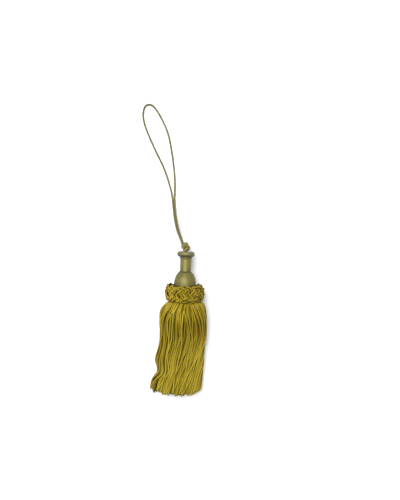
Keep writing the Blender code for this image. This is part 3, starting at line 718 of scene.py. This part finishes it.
def layYarns():
    # Each yarn keeps its share of the way round and its ring's depth, plus its own drift. Then all are pushed
    # apart in every section over a fixed count of sweeps, and what the pushes add is smoothed along the yarn.
    dice = np.random.default_rng(skirt["seed"])
    y, sizes = skirtSections(skirt["controlSteps"])
    down = (y[0] - y) / (y[0] - y[-1])
    share, ring = [], []
    for index, count in enumerate(skirt["ringCounts"]):
        start = (np.arange(count) + dice.uniform(0, 1)) / count
        share.append(start + dice.uniform(-0.2, 0.2, count) / count)
        ring.append(np.full(count, index))
    share, ring = np.concatenate(share), np.concatenate(ring)
    total = len(share)
    stray = (dice.random(total) < skirt["strayShare"]) & (ring == 0)
    reach = np.where(stray, skirt["strayReach"], skirt["wander"])
    aside = dice.normal(0.0, 1.0, (total, skirt["bends"])) * reach[:, None]
    bendPlace = dice.uniform(-0.07, 0.07, (total, skirt["bends"])) + np.linspace(0.0, 1.0, skirt["bends"])
    drift = np.stack([np.interp(down, *bend) for bend in zip(bendPlace, aside)])
    drift[:, 1:-1] = 0.5 * drift[:, 1:-1] + 0.25 * (drift[:, 2:] + drift[:, :-2])
    drift *= np.minimum(down * 9.0, 1.0)
    drift += skirt["swirl"] * np.clip((down - 0.35) / 0.65, 0.0, 1.0) ** 1.2
    bulge = np.exp(-(((y - skirt["bulgeMiddle"]) / skirt["bulgeHalf"]) ** 2))
    gather = np.sin(fullTurn * share * np.array(skirt["ringCounts"])[ring] / skirt["clumpYarns"]
                    + 2.0 * np.sin(fullTurn * share * 3.0))
    drift += skirt["clump"] * gather[:, None] * (0.2 + 0.8 * bulge) * np.minimum(down * 6.0, 1.0)
    fanPlace, fanShare = np.array(skirt["fan"]).T
    fan = np.interp(-y, -fanPlace, fanShare)
    deeper = dice.uniform(-0.3, 0.4, (total, 1)) * np.minimum(down * 5.0, 1.0)
    deeper = deeper + (0.5 - stray[:, None] * skirt["strayLift"]) * np.minimum(down * 9.0, 1.0)
    target = np.empty((total, len(y), 2))
    for k in range(len(y)):
        middleDepth = sizes["pitch"][k] * len(skirt["ringCounts"]) / 2.0
        angles = fullTurn * (0.25 + np.linspace(0.0, 1.0, 361))
        ringLine = outlinePoint(sizes, k, angles, middleDepth)
        reach = np.concatenate([[0.0], np.cumsum(np.linalg.norm(np.diff(ringLine, axis=0), axis=1))])
        where = (share - fan[k] * np.sin(fullTurn * share) + drift[:, k] / reach[-1]) % 1.0
        angle = np.interp(where * reach[-1], reach, angles)
        depth = skirt["yarnRadius"] + ring * sizes["pitch"][k] + deeper[:, k]
        depth = np.minimum(depth, sizes["belly"][k] - sizes["bottom"][k] - 0.2)
        target[:, k] = outlinePoint(sizes, k, angle, depth)
    place = target.copy()
    freedom = np.clip((down - 0.05) * 12.0, 0.0, 1.0)[None, :, None]
    reach = 2.0 * skirt["yarnRadius"]
    sweeps = skirt["sweeps"]
    for sweep in range(sweeps):
        apart = place[:, None] - place[None]
        distance = np.sqrt((apart**2).sum(axis=-1)) + 1e-6
        overlap = np.clip(reach - distance, 0.0, None)
        overlap[np.arange(total), np.arange(total)] = 0.0
        push = (apart * (overlap / distance)[..., None]).sum(axis=1)
        offset = (place + push * 0.3 * freedom) - target
        offset[:, 1:-1] = 0.5 * offset[:, 1:-1] + 0.25 * (offset[:, 2:] + offset[:, :-2])
        offset *= 0.985
        place = target + offset
        place[..., 1] = np.maximum(place[..., 1], skirt["yarnRadius"] + 0.03)
    middle = (sizes["left"][-1] + sizes["right"][-1]) / 2.0
    half = (sizes["right"][-1] - sizes["left"][-1]) / 2.0
    corner = np.minimum(np.abs((place[:, -1, 0] - middle) / half), 1.05)
    end = skirt["lengthEnd"] + skirt["cornerShort"] * corner**4 + dice.uniform(
        0.0, skirt["raggedEnd"], total) ** 1.3
    under = 0.6 * place[:, -1, 1] + dice.uniform(0, 1.5, total)
    tuft = np.argsort(place[:, -1, 0] + under)[: skirt["tuftYarns"]]
    splayStart = skirt["tuftFrom"] + dice.uniform(-3.5, 1.0, (len(tuft), 1))
    bend = np.clip((splayStart - y) / skirt["tuftLength"], 0.0, 1.4)
    bend = np.where(bend < 1.0, bend**2 * (3.0 - 2.0 * bend), 1.0 + 0.25 * (bend - 1.0))
    rank = 1.0 - 0.85 * np.linspace(0.0, 1.0, len(tuft))[:, None] ** 1.7
    rank = rank * dice.uniform(0.82, 1.0, (len(tuft), 1))
    place[tuft, :, 0] -= skirt["tuftReach"] * bend * rank
    place[tuft, :, 1] += dice.uniform(-1.5, 0.8, (len(tuft), 1)) * bend
    place[tuft, :, 1] = np.maximum(place[tuft, :, 1], skirt["yarnRadius"] + 0.03)
    end[tuft] += skirt["tuftShort"] * rank[:, 0] * dice.uniform(-0.5, 1.5, len(tuft))
    return y, sizes, place, ring, end, dice


def yarnLines(y, place, end, steps):
    # Each yarn in even steps of its own length, from the root to its own cut end
    dense = np.linspace(0.0, len(y) - 1.0, 160)
    whole = np.clip(dense.astype(int), 0, len(y) - 2)
    t = (dense - whole)[:, None]
    lines = []
    for points, last in zip(place, end):
        knots = np.column_stack([points[:, 0], y, points[:, 1]])
        ends = np.vstack([2 * knots[0] - knots[1], knots, 2 * knots[-1] - knots[-2]])
        a, b, c, d = (ends[whole + shift] for shift in range(4))
        line = 0.5 * (2 * b + (c - a) * t + (2 * a - 5 * b + 4 * c - d) * t**2
                      + (3 * b - a - 3 * c + d) * t**3)
        keep = line[:, 1] > last
        lines.append(evenSteps(np.vstack([line[keep], line[~keep][:1]]), steps))
    return np.stack(lines)


def yarnGrid(lines, y, sizes, dice, sides, tones):
    # The cut end swells a little and its plies part. Outward is the slope of the ellipse through each point.
    rows, steps = lines.shape[:2]
    low, high, left, right, belly = (np.interp(-lines[..., 1], -y, sizes[key])
                                     for key in ("bottom", "top", "left", "right", "belly"))
    outward = np.stack([(lines[..., 0] - (left + right) / 2.0) / (right - left) ** 2, 0.0 * belly,
                        (lines[..., 2] - belly) / (high - low) ** 2], axis=-1)
    length = np.linalg.norm(np.diff(lines, axis=1), axis=-1).sum(axis=1)[:, None]
    fromEnd = length * np.linspace(1.0, 0.0, steps)
    open3mm = np.clip(1.0 - fromEnd / 3.0, 0.0, 1.0) ** 1.5
    radius = skirt["yarnRadius"] * (1.0 + 0.12 * open3mm) * dice.uniform(0.93, 1.04, (rows, 1))
    turn = fullTurn * length / skirt["twistPitch"] * np.linspace(0.0, 1.0, steps)
    turn = turn + dice.uniform(0, fullTurn, (rows, 1))
    grid = pliedSurface(lines, unit(outward), radius, sides, 2, turn, 0.3 * open3mm)
    grid["points"][..., 2] = np.maximum(grid["points"][..., 2], 0.02)
    # painted shade: darker near the ruff and under the bulge, lighter towards the ends, added to the yarn's
    # tone
    endward = skirt["endTone"] * (np.clip(-lines[..., 1] / 60.0, 0.0, 1.0) - 0.6)
    under = (lines[..., 1] - skirt["bellyMiddle"]) / skirt["bellyHalf"]
    endward -= skirt["bellyShade"] * np.exp(-(under**2))
    return dict(grid, crown=1.0 - open3mm[..., None] * (1.0 - grid["crown"]),
                tone=dice.uniform(*tones, (rows, 1, 1)) + endward[..., None])


def makeSkirt():
    y, sizes, place, ring, end, dice = layYarns()
    print("yarns settled")
    material = yarnMaterial("skirtFinish", skirt["finish"])
    pieces = []
    for name, rings, detail in (("skirtYarns", (0, 1), "detailed"), ("skirtInnerYarns", (2, 3), "plain")):
        grids = []
        for index in rings:
            lines = yarnLines(y, place[ring == index], end[ring == index], skirt[detail]["steps"])
            # painted shade: the inner rings' yarns get lower tones than the outer ring's
            tones = (0.25, 1.05) if index == 0 else (0.2, 0.7)
            grids.append(yarnGrid(lines, y, sizes, dice, skirt[detail]["sides"], tones))
        piece = meshPiece(name, grids, material)
        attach(piece, "root")
        pieces.append(piece)
    for piece in pieces:
        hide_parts("skirt")


# floor and light
studio = dict(
    floorColour=(0.85, 0.85, 0.85), floorReach=1.6, floorSides=96,
    keyPlace=(-0.66, 1.26, 3.45), keySize=3.0, keyPower=212.0,
    fillPlace=(0.3, 0.0, 3.9), fillSize=3.6, fillPower=63.0,
    skyAbove=0.02, skyLevel=0.85,    # brightness overhead, and at the horizon, which lies behind a low view
    levelTop=0.12, fadeTop=0.40,    # sines of the heights where the level brightness starts and stops fading
)


def makeLight(name, place, size, power):
    data = bpy.data.lights.new(name, "AREA")
    data.shape = "DISK"
    data.size = size
    data.energy = power
    lamp = bpy.data.objects.new(name, data)
    bpy.context.scene.collection.objects.link(lamp)
    lamp.location = place
    aim = np.array((0.0, 0.04, 0.0)) - np.array(place)
    level = math.hypot(aim[0], aim[1])
    lamp.rotation_euler = (math.atan2(level, -aim[2]), 0.0, math.atan2(aim[1], aim[0]) - math.pi / 2.0)


def makeStudio():
    mesh = bpy.data.meshes.new("floor")
    edge = studio["floorReach"]
    turns = fullTurn * np.arange(studio["floorSides"]) / studio["floorSides"]
    corners = np.stack([edge * np.cos(turns), edge * np.sin(turns), np.full(len(turns), -0.0001)], axis=1)
    mesh.from_pydata(corners.tolist(), [], [tuple(range(len(turns)))])
    floor = bpy.data.objects.new("floor", mesh)
    bpy.context.scene.collection.objects.link(floor)
    material = bpy.data.materials.new("paleFloor")
    material.use_nodes = True
    shader = material.node_tree.nodes["Principled BSDF"]
    shader.inputs["Base Color"].default_value = (*studio["floorColour"], 1.0)
    shader.inputs["Roughness"].default_value = 0.9
    mesh.materials.append(material)
    makeLight("keyLight", studio["keyPlace"], studio["keySize"], studio["keyPower"])
    makeLight("fillLight", studio["fillPlace"], studio["fillSize"], studio["fillPower"])
    world = bpy.data.worlds.new("studio")
    bpy.context.scene.world = world
    world.use_nodes = True
    tree = world.node_tree
    place = addNode(tree, "ShaderNodeTexCoord")
    split = addNode(tree, "ShaderNodeSeparateXYZ")
    fade = addNode(tree, "ShaderNodeMapRange", interpolation_type="SMOOTHSTEP")
    fade.inputs["From Min"].default_value = studio["levelTop"]
    fade.inputs["From Max"].default_value = studio["fadeTop"]
    fade.inputs["To Min"].default_value = studio["skyLevel"]
    fade.inputs["To Max"].default_value = studio["skyAbove"]
    tree.links.new(place.outputs["Generated"], split.inputs[0])
    tree.links.new(split.outputs["Z"], fade.inputs["Value"])
    tree.links.new(fade.outputs["Result"], tree.nodes["Background"].inputs["Strength"])
    tree.nodes["Background"].inputs["Color"].default_value = (1.0, 1.0, 1.0, 1.0)
    bpy.context.scene.view_settings.view_transform = "Standard"


makeCamera()
makeCord()
makeHead()
makeRuff()
makeKnot()
makeSkirt()
makeStudio()
